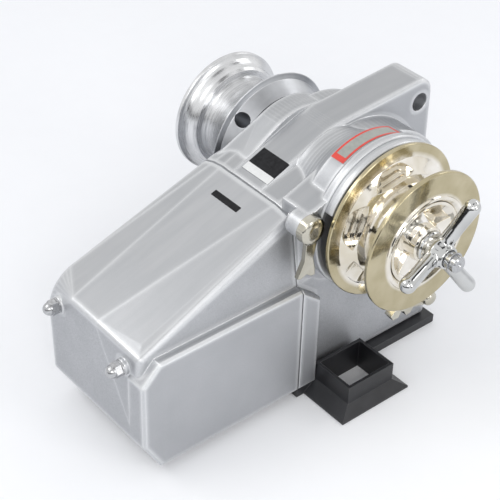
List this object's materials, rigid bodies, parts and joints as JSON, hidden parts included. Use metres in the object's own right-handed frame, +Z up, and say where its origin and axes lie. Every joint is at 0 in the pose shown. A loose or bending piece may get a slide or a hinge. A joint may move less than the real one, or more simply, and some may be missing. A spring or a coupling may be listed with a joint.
{
  "type": "horizontal anchor windlass",
  "caption": "Electric horizontal anchor windlass: chain wheel with hand clutch, pawl and stripper on one side, warping drum on the other, motor cover in front.",
  "frame": {"origin": "on the deck face of the base, under the main shaft and in the middle of the deck bolts", "axes": "+Z up from the deck; +X along the main shaft towards the chain wheel; -Y towards the motor nose"},
  "size_m": [0.3265, 0.4114, 0.259],
  "materials": {
    "aluminium": "satin cast and brushed",
    "machined_aluminium": "machined",
    "polished_aluminium": "polished",
    "gold_chrome": "warm plated",
    "bright_chrome": "mirror plated",
    "stainless": "bright",
    "gear_steel": "ground",
    "bronze": "machined",
    "copper": "bare",
    "black_plastic": "moulded",
    "black_rubber": "matte",
    "black_paint": "semi-gloss"
  },
  "bodies": {
    "housing": {"gear_housing": "aluminium", "side_cover": "machined_aluminium", "side_cover_screws": "stainless", "motor_cover": "aluminium", "cover_gasket": "black_rubber", "cover_studs": "stainless", "cover_washers": "stainless", "acorn_nuts": "stainless", "deck_base": "black_plastic", "base_screws": "stainless", "shaft_bearings": "stainless", "shaft_seals": "black_rubber", "worm_bearings": "stainless", "worm_end_cap": "stainless", "motor_flange": "machined_aluminium", "motor_flange_screws": "stainless", "motor_yoke": "black_paint", "motor_magnets": "gear_steel", "motor_end_cap": "machined_aluminium", "motor_bearings": "stainless", "brush_holder": "black_plastic", "motor_terminals": "copper", "pawl_pin": "stainless", "chain_stripper": "gold_chrome", "stripper_spacer": "stainless", "stripper_bolt": "gold_chrome"},
    "shaft": {"main_shaft": "stainless", "worm_wheel": "bronze", "wheel_key": "stainless", "warping_drum": "polished_aluminium", "drum_key": "stainless", "drum_washer": "stainless", "drum_screw": "stainless", "inner_cone": "bronze", "cone_keys": "stainless", "end_circlip": "stainless"},
    "worm": {"worm_shaft": "gear_steel", "spur_gear": "gear_steel"},
    "motor_rotor": {"armature": "copper", "commutator": "copper", "motor_pinion": "gear_steel"},
    "wheel": {"chain_wheel": "gold_chrome"},
    "pressure_cone": {"outer_cone": "gold_chrome"},
    "nut": {"clutch_nut": "bright_chrome"},
    "pawl": {"pawl": "gold_chrome"}
  },
  "joints": [
    {"name": "shaft_spin", "type": "hinge", "parent": "housing", "child": "shaft", "pos_m": [0, 0, 0.182], "axis": [1, 0, 0], "continuous": true},
    {"name": "worm_spin", "type": "hinge", "parent": "housing", "child": "worm", "pos_m": [0, 0, 0.124], "axis": [0, 1, 0], "continuous": true},
    {"name": "motor_spin", "type": "hinge", "parent": "housing", "child": "motor_rotor", "pos_m": [0, 0, 0.076], "axis": [0, 1, 0], "continuous": true},
    {"name": "wheel_spin", "type": "hinge", "parent": "shaft", "child": "wheel", "pos_m": [0.1178, 0, 0.182], "axis": [1, 0, 0], "continuous": true},
    {"name": "cone_slide", "type": "slide", "parent": "shaft", "child": "pressure_cone", "axis": [1, 0, 0], "range_m": [0, 0.002]},
    {"name": "nut_turn", "type": "hinge", "parent": "pressure_cone", "child": "nut", "pos_m": [0.158, 0, 0.182], "axis": [1, 0, 0], "range_deg": [0, 360]},
    {"name": "pawl_swing", "type": "hinge", "parent": "housing", "child": "pawl", "pos_m": [0.085, -0.0866, 0.2023], "axis": [1, 0, 0], "range_deg": [-110, 30]}
  ],
  "couplings": [
    {"joint": "worm_spin", "follows": "shaft_spin", "ratio": -30},
    {"joint": "motor_spin", "follows": "shaft_spin", "ratio": 90},
    {"joint": "nut_turn", "follows": "cone_slide", "rad_per_m": 3141.6}
  ]
}
